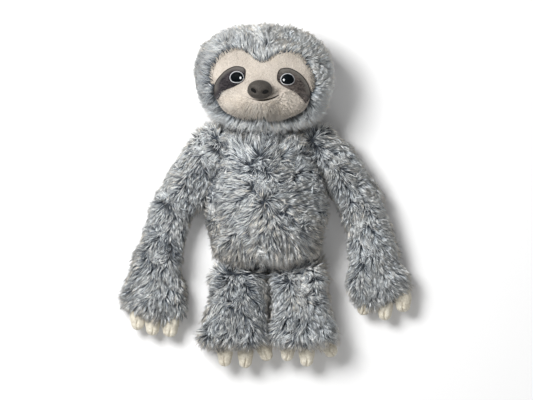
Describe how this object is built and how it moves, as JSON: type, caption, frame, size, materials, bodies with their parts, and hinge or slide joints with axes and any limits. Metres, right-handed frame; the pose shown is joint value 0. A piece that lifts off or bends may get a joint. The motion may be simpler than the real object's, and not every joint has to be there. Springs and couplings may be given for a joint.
{
  "type": "plush sloth",
  "caption": "Long-armed soft toy sloth lying on its back: stuffed torso, turning and nodding head, swinging arms, folding legs, velour face and soft claws.",
  "frame": {"origin": "on the flat of the back that the toy lies on, below the middle of the torso", "axes": "-Z out of the back into the floor, +Y towards the head along the toy's length, +X to the right of the picture"},
  "size_m": [0.2849, 0.3439, 0.1075],
  "materials": {
    "grey_fur": "matte",
    "belly_fur": "matte",
    "face_velour": "matte",
    "patch_cloth": "matte",
    "cream_velour": "matte",
    "nose_skin": "matte",
    "eye_dark": "satin",
    "eye_light": "satin",
    "thread": "matte",
    "fibre": "matte",
    "washer_plastic": "matte"
  },
  "bodies": {
    "torso": {"torso_back_panel": "grey_fur", "torso_front_panel": "belly_fur", "torso_stuffing": "fibre"},
    "neck": {"neck": "grey_fur"},
    "head": {"eye_left": "eye_dark", "eye_patch_left": "patch_cloth", "eye_patch_right": "patch_cloth", "eye_right": "eye_dark", "eye_ring_left": "eye_light", "eye_ring_right": "eye_light", "face_panel": "face_velour", "head_back_panel": "grey_fur", "head_front_panel": "grey_fur", "head_stuffing": "fibre", "mouth_stitch": "thread", "nose": "nose_skin", "nose_washer": "washer_plastic"},
    "arm_left": {"arm_left_back_panel": "grey_fur", "arm_left_claw_1": "cream_velour", "arm_left_claw_2": "cream_velour", "arm_left_claw_3": "cream_velour", "arm_left_front_panel": "grey_fur", "arm_left_stuffing": "fibre"},
    "arm_right": {"arm_right_back_panel": "grey_fur", "arm_right_claw_1": "cream_velour", "arm_right_claw_2": "cream_velour", "arm_right_claw_3": "cream_velour", "arm_right_front_panel": "grey_fur", "arm_right_stuffing": "fibre"},
    "leg_left": {"leg_left_back_panel": "grey_fur", "leg_left_claw_1": "cream_velour", "leg_left_claw_2": "cream_velour", "leg_left_claw_3": "cream_velour", "leg_left_front_panel": "grey_fur", "leg_left_stuffing": "fibre"},
    "leg_right": {"leg_right_back_panel": "grey_fur", "leg_right_claw_1": "cream_velour", "leg_right_claw_2": "cream_velour", "leg_right_claw_3": "cream_velour", "leg_right_front_panel": "grey_fur", "leg_right_stuffing": "fibre"}
  },
  "joints": [
    {"name": "neck_turn", "type": "hinge", "parent": "torso", "child": "neck", "pos_m": [-0.0015, 0.066, 0.038], "axis": [0, 1, 0], "range_deg": [-45, 45]},
    {"name": "neck_nod", "type": "hinge", "parent": "neck", "child": "head", "pos_m": [-0.0015, 0.066, 0.038], "axis": [1, 0, 0], "range_deg": [-20, 20]},
    {"name": "shoulder_left", "type": "hinge", "parent": "torso", "child": "arm_left", "pos_m": [-0.04654, 0.03261, 0.0225], "axis": [-0.933, 0.36, 0], "range_deg": [-45, 90]},
    {"name": "shoulder_right", "type": "hinge", "parent": "torso", "child": "arm_right", "pos_m": [0.04796, 0.03413, 0.0225], "axis": [-0.8942, -0.4478, 0], "range_deg": [-45, 90]},
    {"name": "hip_left", "type": "hinge", "parent": "torso", "child": "leg_left", "pos_m": [-0.0273, -0.088, 0.0261], "axis": [-1, 0, 0], "range_deg": [-15, 90]},
    {"name": "hip_right", "type": "hinge", "parent": "torso", "child": "leg_right", "pos_m": [0.0323, -0.088, 0.0261], "axis": [-1, 0, 0], "range_deg": [-15, 90]}
  ]
}
